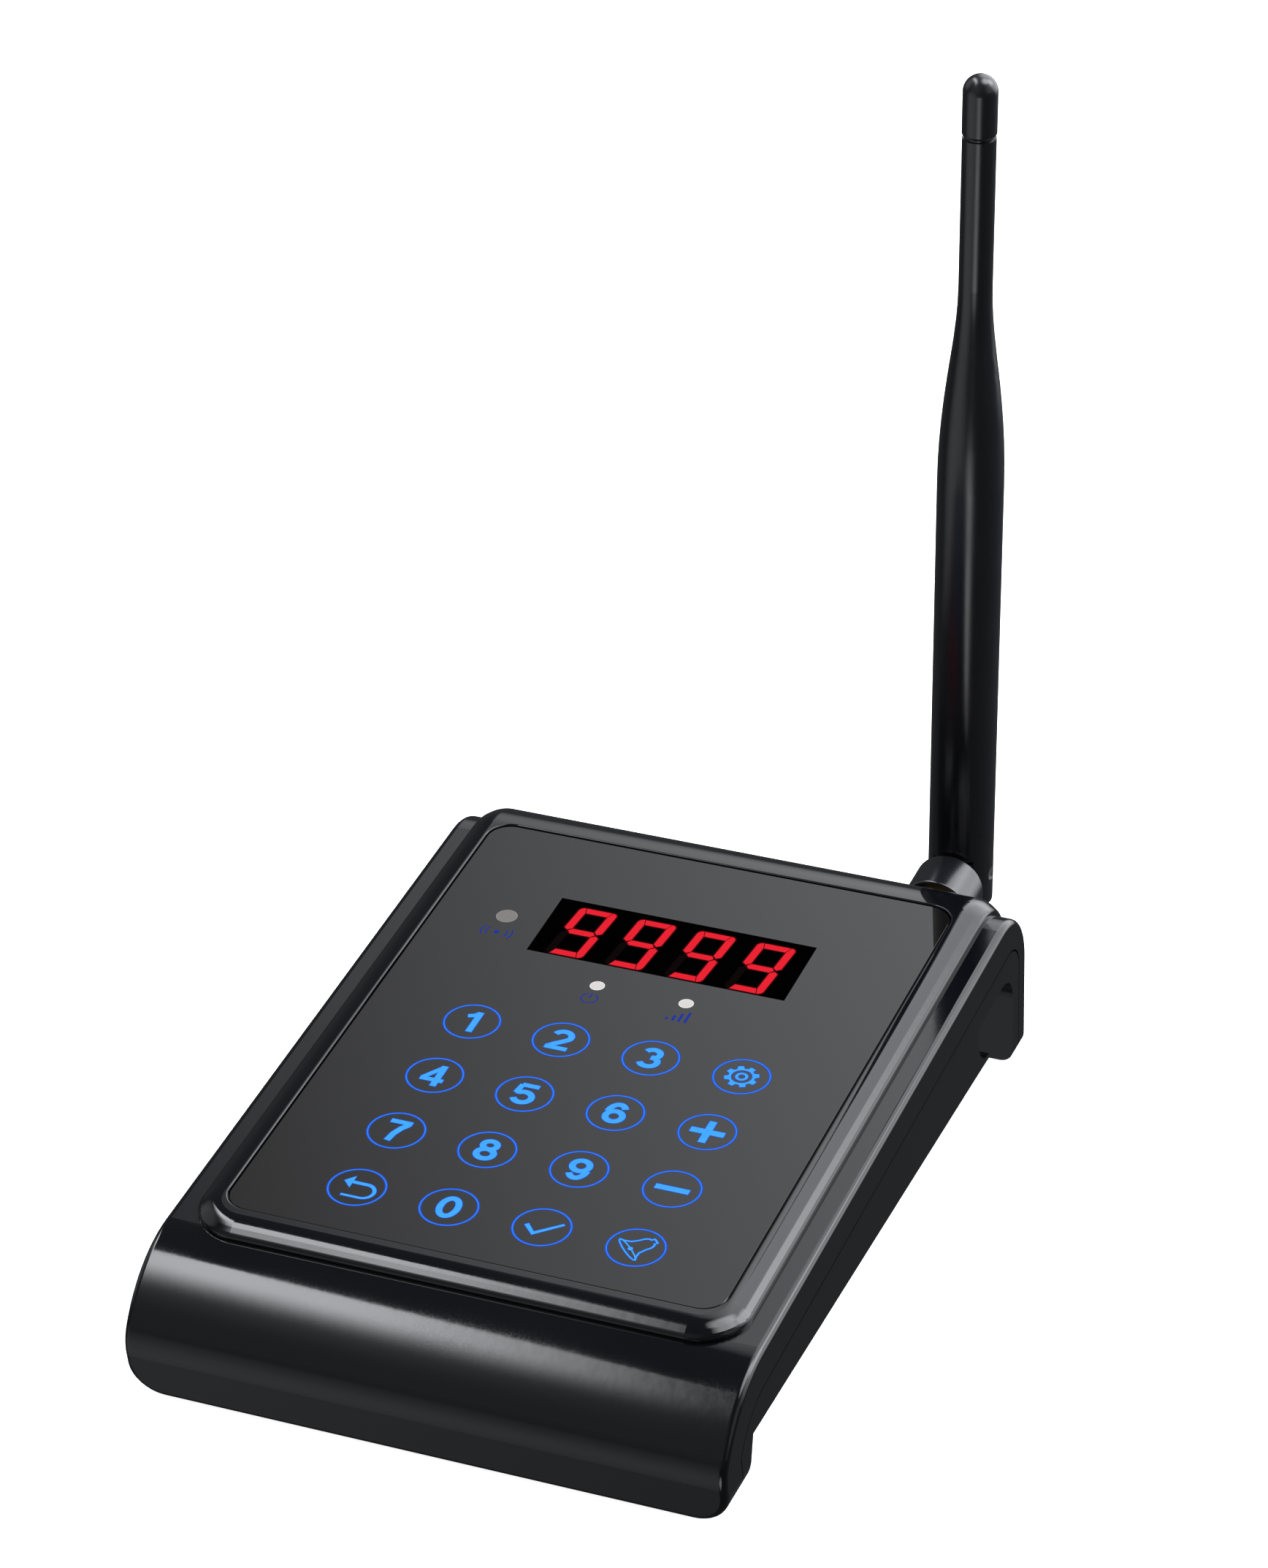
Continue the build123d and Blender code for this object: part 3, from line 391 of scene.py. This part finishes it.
def lit(name, colour, edge, strength, fine):
    """Ink or a light pipe lit from behind: even glow with a slight cloud in it. Unlit pieces made here glow
    the same way: painted glow.
    """
    made, tree, shade, place = start(name)
    cloud = add(tree, "ShaderNodeTexNoise", {"Vector": place, "Scale": 1 / (fine * MM), "Detail": 2.0})
    tone = add(tree, "ShaderNodeMix", {0: cloud.outputs["Fac"], 6: paint(edge), 7: paint(colour)},
               data_type="RGBA")
    tree.links.new(tone.outputs[2], shade.inputs["Emission Color"])
    shade.inputs["Base Color"].default_value = paint("#050505")
    shade.inputs["Emission Strength"].default_value = strength
    shade.inputs["Roughness"].default_value = 0.6
    shade.inputs["Specular IOR Level"].default_value = 0.0
    return made


# one digit: sizes in mm, a bar's width and the gap between bars, then the outline of each bar
DIGIT_PITCH, DIGIT_WIDE, DIGIT_HIGH, BAR, GAP = 12.2, 7.7, 16.0, 1.55, 0.16
SLANT = tan(radians(5.0))                 # the digits lean to the right
DISPLAY_V = 87.7                          # middle of the display, behind the front key row
SHIFT = 0.45                              # the print sits this far right of the middle
half_w, half_h = DIGIT_WIDE / 2, DIGIT_HIGH / 2
inner, cut = half_w - BAR - GAP, 0.5
bars = {
    "a": [(-inner - cut, half_h), (inner + cut, half_h), (inner, half_h - BAR), (-inner, half_h - BAR)],
    "b": [(half_w - BAR, GAP + 0.75), (half_w - BAR / 2, GAP + 0.1), (half_w, GAP + 0.7),
          (half_w, half_h - 0.9), (half_w - 0.25, half_h - 0.3), (half_w - 0.8, half_h),
          (half_w - BAR + cut, half_h), (half_w - BAR, half_h - BAR)],
    "g": [(-half_w + BAR / 2 + 0.35, 0.0), (-half_w + BAR + 0.2, BAR / 2), (half_w - BAR - 0.2, BAR / 2),
          (half_w - BAR / 2 - 0.35, 0.0), (half_w - BAR - 0.2, -BAR / 2), (-half_w + BAR + 0.2, -BAR / 2)],
}
bars["c"] = [(x, -y) for x, y in bars["b"]]
bars["f"] = [(-x, y) for x, y in bars["b"]]
bars["e"] = [(-x, -y) for x, y in bars["b"]]
bars["d"] = [(x, -y) for x, y in bars["a"]]
red_bars, dark_bars = [], []
for i in range(4):
    u = (i - 1.5) * DIGIT_PITCH + SHIFT
    for key, outline in bars.items():
        spot = [(x + y * SLANT + u, y + DISPLAY_V) for x, y in outline]
        (red_bars if key in "abcdfg" else dark_bars).append([spot])
red_light = lit("red epoxy light pipe", "#F22434", "#E41E2E", 1.0, 0.8)
# painted glow: the light the lit bars spill round them, as a glowing dark red rim
red_painted_halo = lit("red painted glow round the bars", "#3A0408", "#2E0306", 1.0, 0.8)
# the unlit bars glow a faint dark red: painted glow
red_dark_painted_glow = lit("unlit red epoxy with painted glow", "#0C0203", "#070102", 1.0, 0.8)
window_black, tree, shade, place = start("matt black window ink")
fleck = add(tree, "ShaderNodeTexNoise", {"Vector": place, "Scale": 1 / (0.4 * MM), "Detail": 2.0})
tone = add(tree, "ShaderNodeMix", {0: fleck.outputs["Fac"], 6: paint("#000000"), 7: paint("#030202")},
           data_type="RGBA")
tree.links.new(tone.outputs[2], shade.inputs["Base Color"])
shade.inputs["Roughness"].default_value = 0.5
shade.inputs["Specular IOR Level"].default_value = 0.0
WINDOW_HALF, WINDOW_LOW, WINDOW_HIGH = 26.2, 79.2, 97.6
window = [(SHIFT - WINDOW_HALF, WINDOW_LOW), (SHIFT + WINDOW_HALF, WINDOW_LOW),
          (SHIFT + WINDOW_HALF, WINDOW_HIGH), (SHIFT - WINDOW_HALF, WINDOW_HIGH)]
INK = 0.004                               # inks lie this far above the glass, to part the faces
slab("display_window", [[window]], INK - 0.002, INK + 0.004, window_black)
# a painted halo of red glow round each lit bar
painted_halo_bars = [[grow(bar[0], 0.30)] for bar in red_bars]
slab("segment_painted_halo", painted_halo_bars, INK + 0.005, INK + 0.008, red_painted_halo)
# the unlit bars glow faintly: painted glow
slab("unlit_segments", dark_bars, INK + 0.005, INK + 0.009, red_dark_painted_glow)
slab("lit_segments", red_bars, INK + 0.009, INK + 0.016, red_light)

# ------------------------------------------------------------------ printed panel
# The print on the back of the glass: dark grey screen-printed ink on film, left clear
# for the display and three lamps. Key rings, figures and icons are blue, lit from behind;
# their shapes lie on the face of the glass, at the place where the eye sees them through it.
print_grey, tree, shade, place = start("screen-printed grey ink")
mesh_dots = add(tree, "ShaderNodeTexNoise", {"Vector": place, "Scale": 1 / (0.5 * MM), "Detail": 2.0})
drift = add(tree, "ShaderNodeTexNoise", {"Vector": place, "Scale": 1 / (45 * MM), "Detail": 2.0})
both = add(tree, "ShaderNodeMix", {0: 0.75, 2: mesh_dots.outputs["Fac"], 3: drift.outputs["Fac"]})
tone = add(tree, "ShaderNodeMix", {0: both.outputs[0], 6: paint("#4C4A4A"), 7: paint("#565353")},
           data_type="RGBA")
tree.links.new(tone.outputs[2], shade.inputs["Base Color"])
shade.inputs["Roughness"].default_value = 0.7
shade.inputs["Specular IOR Level"].default_value = 0.0
dress(print_grey, "printed_film")

# places in mm on the deck, from the middle of the front key row
POWER, SIGNAL, LINK = (-8.5, 72.4), (9.5, 72.4), (-33.6, 88.4)
COLUMNS, ROWS = (-26.55, -8.55, 9.45, 27.45), (0.0, 18.0, 36.0, 54.0)
PEN = 1.3                                 # stroke of the figures
FIG = 3.25                                # half the height of a figure
ring_radius, ring_pen = 5.30, 0.42        # key ring: middle of its line, and the line's width


def oval(centre, across, along, pen):
    """A closed pen line round an ellipse."""
    return [arc(centre, across + pen / 2, along + pen / 2, 0, 360, 48)[:-1],
            arc(centre, across - pen / 2, along - pen / 2, 0, 360, 48)[:-1]]


# the figures and icons as filled outlines, in mm round the middle of their key
mid = FIG - PEN / 2
nine_tail = arc((-0.05, -0.15), 1.62, 2.45, 0, -148, 18)
figures = {
    "0": [oval((0, 0), 1.62, mid, PEN)],
    "1": [[stroke([(0.55, FIG), (0.55, -FIG)], PEN)],
          [stroke([(0.4, 2.7), (-0.35, 1.95), (-1.45, 1.45)], 1.1)]],
    "2": [[stroke(arc((0, 1.1), 1.65, 1.5, 165, -25, 16)
                  + [(0.75, -0.3), (-0.8, -1.55), (-1.75, -2.55)], PEN)],
          [stroke([(-2.3, -FIG + 0.6), (2.2, -FIG + 0.6)], 1.2)]],
    "3": [[stroke(arc((-0.1, 1.35), 1.45, 1.27, 160, -90, 20), PEN)],
          [stroke(arc((-0.05, -1.15), 1.7, 1.45, 90, -160, 22), PEN)]],
    "4": [[stroke([(0.85, FIG), (0.85, -FIG)], PEN)], [stroke([(-2.4, -1.35), (2.2, -1.35)], 1.15)],
          [stroke([(0.75, 2.75), (-2.0, -1.2)], 1.1)]],
    "5": [[stroke([(-1.45, FIG - 0.6), (1.95, FIG - 0.6)], 1.2)],
          [stroke([(-1.35, 2.7), (-1.75, 0.0)], 1.15)],
          [stroke([(-1.75, 0.35)] + arc((-0.05, -1.0), 1.72, 1.62, 125, -160, 22), PEN)]],
    "6": [oval((0.05, -1.05), 1.6, 1.55, PEN), [stroke([(-x, -y) for x, y in nine_tail], PEN)]],
    "7": [[stroke([(-2.15, FIG - 0.6), (2.15, FIG - 0.6)], 1.2)],
          [stroke([(1.65, 2.35), (0.6, 0.9), (-0.2, -1.0), (-0.55, -FIG)], PEN)]],
    "8": [oval((0, 1.42), 1.35, 1.2, 1.25), oval((0, -1.2), 1.62, 1.42, PEN)],
    "9": [oval((-0.05, 1.05), 1.6, 1.55, PEN), [stroke(nine_tail, PEN)]],
    "plus": [[stroke([(-3.35, 0), (3.35, 0)], 1.55)], [stroke([(0, -3.35), (0, 3.35)], 1.5)]],
    "minus": [[stroke([(-3.3, 0), (3.3, 0)], 1.45)]],
    "check": [[stroke([(-3.0, 0.1), (-0.95, -2.1), (3.6, 1.95)], 0.95, 0.6)]],
    "back": [[[(-3.05, 1.25), (-1.3, 3.1), (-1.3, -0.5)]],
             [stroke([(-1.4, 1.25), (1.6, 1.25)] + arc((1.6, -0.75), 2.0, 2.0, 88, -90, 18)
                     + [(-2.1, -2.75)], 0.85, 0.6)]],
}
teeth = []
for i in range(8):
    for off, reach in ((-15.5, 2.55), (-9.5, 3.33), (9.5, 3.33), (15.5, 2.55)):
        turn = radians(45 * i + 22.5 + off)
        teeth.append((reach * cos(turn), reach * sin(turn)))
figures["gear"] = [[teeth, circle(1.98, steps=48)], oval((0, 0), 0.95, 0.95, 0.6)]
half_bell = [(0.0, 3.4), (0.55, 2.6), (1.5, 1.8), (2.9, 1.5),
             (4.1, 1.4), (4.75, 1.05), (4.95, 0.65), (5.6, 0.6)]
bell = half_bell + [(p, -q) for p, q in half_bell[::-1]]
lean = radians(44)                        # the bell hangs at a slant from its mouth
bell_line = [(-1.25 + p * cos(lean) - q * sin(lean), -1.0 + p * sin(lean) + q * cos(lean))
             for p, q in bell]
rim = [(-1.25 + 0.6 * cos(a) * cos(lean) - 3.4 * sin(a) * sin(lean),
        -1.0 + 0.6 * cos(a) * sin(lean) + 3.4 * sin(a) * cos(lean))
       for a in [2 * pi * i / 40 for i in range(40)]]
figures["bell"] = [[grow(rim, 0.17), grow(rim, -0.17)], [stroke(bell_line, 0.42)],
                   [circle(0.5, (-0.85, -0.6), 20)]]

keys = [["back", "0", "check", "bell"], ["7", "8", "9", "minus"],
        ["4", "5", "6", "plus"], ["1", "2", "3", "gear"]]


def shift(shape, u, v):
    """The same shape moved across the deck."""
    return [[(x + u, y + v) for x, y in outline] for outline in shape]


def widen(shape, by):
    """Grows a shape's outline and closes its holes by the same step."""
    return [grow(shape[0], by)] + [grow(hole, -by) for hole in shape[1:]]


ring_shapes, figure_shapes, ring_edges, figure_edges = [], [], [], []
EDGE, RING_EDGE, THIN = 0.09, 0.06, 0.03  # deeper blue rims, and how far a lit figure draws in
for row, names in zip(ROWS, keys):
    for column, name in zip(COLUMNS, names):
        ring = [circle(ring_radius + ring_pen / 2), circle(ring_radius - ring_pen / 2)]
        spot = (column, row)
        ring_shapes.append(shift(widen(ring, -EDGE), *spot))
        ring_edges.append(shift(widen(ring, RING_EDGE), *spot))
        for shape in figures[name]:
            figure_shapes.append(shift(widen(shape, -THIN), *spot))
            figure_edges.append(shift(widen(shape, EDGE), *spot))
lit_blue = lit("lit blue ink", "#46A6FF", "#3A98FB", 1.18, 1.2)
ring_blue = lit("lit ring ink", "#3C86F8", "#2F74F0", 1.1, 1.2)
deep_blue = lit("deep blue ink", "#1F55D8", "#1A48C4", 1.0, 1.2)
dim_blue = lit("dim blue ink", "#2440C0", "#1E36A0", 0.85, 0.5)
slab("key_rings", ring_shapes, INK + 0.008, INK + 0.014, ring_blue)
slab("key_figures", figure_shapes, INK + 0.008, INK + 0.014, lit_blue)
slab("key_ring_edges", ring_edges, INK, INK + 0.005, deep_blue)
slab("key_figure_edges", figure_edges, INK, INK + 0.005, deep_blue)

# small icons under the lamps: power sign, signal bars and radio waves
icons = [
    shift([stroke(arc((0.0, -4.2), 1.55, 1.55, 118, 422, 30), 0.24)], *POWER),
    shift([stroke([(0.0, -2.55), (0.0, -4.2)], 0.26)], *POWER),
    shift([circle(0.55, (0.1, -5.55), 24)], *LINK),
]
for x, high in ((-1.85, 0.7), (-0.6, 1.75), (0.6, 2.6), (1.85, 3.4)):
    icons.append(shift([stroke([(x, -5.9), (x, -5.9 + high)], 0.5)], *SIGNAL))
for radius, spread in ((2.05, 34), (3.1, 30)):
    icons.append(shift([stroke(arc((0.1, -5.55), radius, radius, -spread, spread, 14), 0.26)], *LINK))
    icons.append(shift([stroke(arc((0.1, -5.55), radius, radius, 180 - spread, 180 + spread, 14), 0.26)],
                       *LINK))
slab("status_icons", icons, INK, INK + 0.008, dim_blue)

# lamp windows: milky white dots and a grey one, each with a fine pale rim; the grey one glows though unlit:
# painted glow
white_dot = lit("milky white lamp ink", "#E2E1DE", "#D8D7D3", 1.0, 0.6)
white_rim = lit("white lamp rim", "#F8F8F6", "#F2F2EF", 1.0, 0.6)
# the grey link window and its rim glow with their own grey: painted glow
grey_dot_painted_glow = lit("grey lamp ink, painted glow", "#8C8A89", "#807E7D", 1.0, 0.6)
grey_rim_painted_glow = lit("pale grey lamp rim, painted glow", "#9A9896", "#908E8C", 1.0, 0.6)
LAMP_RIM, LAMP_DOT, LINK_RIM, LINK_DOT = 1.45, 1.28, 2.1, 1.95     # radii in mm
slab("lamp_rims", [[circle(LAMP_RIM, POWER)], [circle(LAMP_RIM, SIGNAL)]], INK, INK + 0.004,
     white_rim)
slab("lamp_dots", [[circle(LAMP_DOT, POWER)], [circle(LAMP_DOT, SIGNAL)]], INK + 0.006, INK + 0.010,
     white_dot)
slab("link_rim", [[circle(LINK_RIM, LINK)]], INK, INK + 0.004, grey_rim_painted_glow)
slab("link_dot", [[circle(LINK_DOT, LINK)]], INK + 0.006, INK + 0.010, grey_dot_painted_glow)

# the adhesive frame that holds the glass: black foam tape
tape, tree, shade, place = start("black foam tape")
cells = add(tree, "ShaderNodeTexVoronoi", {"Vector": place, "Scale": 1 / (0.5 * MM)})
tone = add(tree, "ShaderNodeMix", {0: cells.outputs["Distance"], 6: paint("#0A0A0A"), 7: paint("#161616")},
           data_type="RGBA")
tree.links.new(tone.outputs[2], shade.inputs["Base Color"])
shade.inputs["Roughness"].default_value = 0.8
dress(tape, "glass_tape")

# ------------------------------------------------------------------ touch glass
# Cut and edge-ground touch glass, 2 mm thick, backed with dark ink and bonded into the
# bezel. Near black in itself: its grey is the pale wall that the polished face mirrors.
glass, tree, shade, place = start("polished back-printed glass")
smear = add(tree, "ShaderNodeTexNoise", {"Vector": place, "Scale": 1 / (22 * MM), "Detail": 4.0})
rough = add(tree, "ShaderNodeMapRange", {0: smear.outputs["Fac"], 1: 0.4, 2: 0.75, 3: 0.012, 4: 0.05})
tree.links.new(rough.outputs[0], shade.inputs["Roughness"])
tone = add(tree, "ShaderNodeMix", {0: smear.outputs["Fac"], 6: paint("#0E0D0D"), 7: paint("#121111")},
           data_type="RGBA")
tree.links.new(tone.outputs[2], shade.inputs["Base Color"])
shade.inputs["IOR"].default_value = 1.50
dress(glass, "touch_glass")

# ------------------------------------------------------------------ antenna connector
# Gold-plated brass coaxial connector: the threaded barrel, its nut and the coupling
# sleeve of the antenna. Warm bright metal with fine lathe marks.
gold, tree, shade, place = start("gold-plated brass")
lathe = add(tree, "ShaderNodeTexNoise", {"Vector": place, "Scale": 1 / (0.3 * MM), "Detail": 3.0})
shade.inputs["Metallic"].default_value = 1.0
tone = add(tree, "ShaderNodeMix", {0: lathe.outputs["Fac"], 6: paint("#C79A3E"), 7: paint("#E2BC63")},
           data_type="RGBA")
tree.links.new(tone.outputs[2], shade.inputs["Base Color"])
rough = add(tree, "ShaderNodeMapRange", {0: lathe.outputs["Fac"], 3: 0.2, 4: 0.34})
tree.links.new(rough.outputs[0], shade.inputs["Roughness"])
dress(gold, "antenna_connector", "connector_nut", "coupling_sleeve")

# ------------------------------------------------------------------ radio lead
# The thin coaxial lead from the radio board to the antenna connector: extruded PVC jacket,
# dark grey and slightly waxy.
jacket, tree, shade, place = start("extruded PVC jacket")
ripple = add(tree, "ShaderNodeTexNoise", {"Vector": place, "Scale": 1 / (0.8 * MM), "Detail": 2.0})
tone = add(tree, "ShaderNodeMix", {0: ripple.outputs["Fac"], 6: paint("#1A1A1C"), 7: paint("#262628")},
           data_type="RGBA")
tree.links.new(tone.outputs[2], shade.inputs["Base Color"])
shade.inputs["Roughness"].default_value = 0.45
dress(jacket, "radio_lead")

# ------------------------------------------------------------------ antenna
# The swivel knuckle, the whip sleeve and its tip: satin black thermoplastic from a
# lightly blasted tool. The copper rod inside is the radiating element.
satin, tree, shade, place = start("satin black thermoplastic")
shade.inputs["IOR"].default_value = 1.5
shade.inputs["Specular IOR Level"].default_value = 0.85
blast = add(tree, "ShaderNodeTexNoise", {"Vector": place, "Scale": 1 / (0.35 * MM), "Detail": 3.0})
smear = add(tree, "ShaderNodeTexNoise", {"Vector": place, "Scale": 1 / (15 * MM), "Detail": 2.0})
tone = add(tree, "ShaderNodeMix", {0: smear.outputs["Fac"], 6: paint("#14151A"), 7: paint("#191A1F")},
           data_type="RGBA")
tree.links.new(tone.outputs[2], shade.inputs["Base Color"])
rough = add(tree, "ShaderNodeMapRange", {0: smear.outputs["Fac"], 1: 0.3, 2: 0.7, 3: 0.20, 4: 0.28})
tree.links.new(rough.outputs[0], shade.inputs["Roughness"])
wave = add(tree, "ShaderNodeBump",
           {"Height": blast.outputs["Fac"], "Strength": 0.35, "Distance": 0.012 * MM})
tree.links.new(wave.outputs[0], shade.inputs["Normal"])
dress(satin, "antenna_knuckle", "whip_sleeve", "whip_tip")

copper, tree, shade, place = start("drawn copper rod")
lines = add(tree, "ShaderNodeTexNoise", {"Vector": place, "Scale": 1 / (0.4 * MM), "Detail": 2.0})
shade.inputs["Metallic"].default_value = 1.0
tone = add(tree, "ShaderNodeMix", {0: lines.outputs["Fac"], 6: paint("#B4714E"), 7: paint("#C9855F")},
           data_type="RGBA")
tree.links.new(tone.outputs[2], shade.inputs["Base Color"])
shade.inputs["Roughness"].default_value = 0.3
dress(copper, "whip_element")
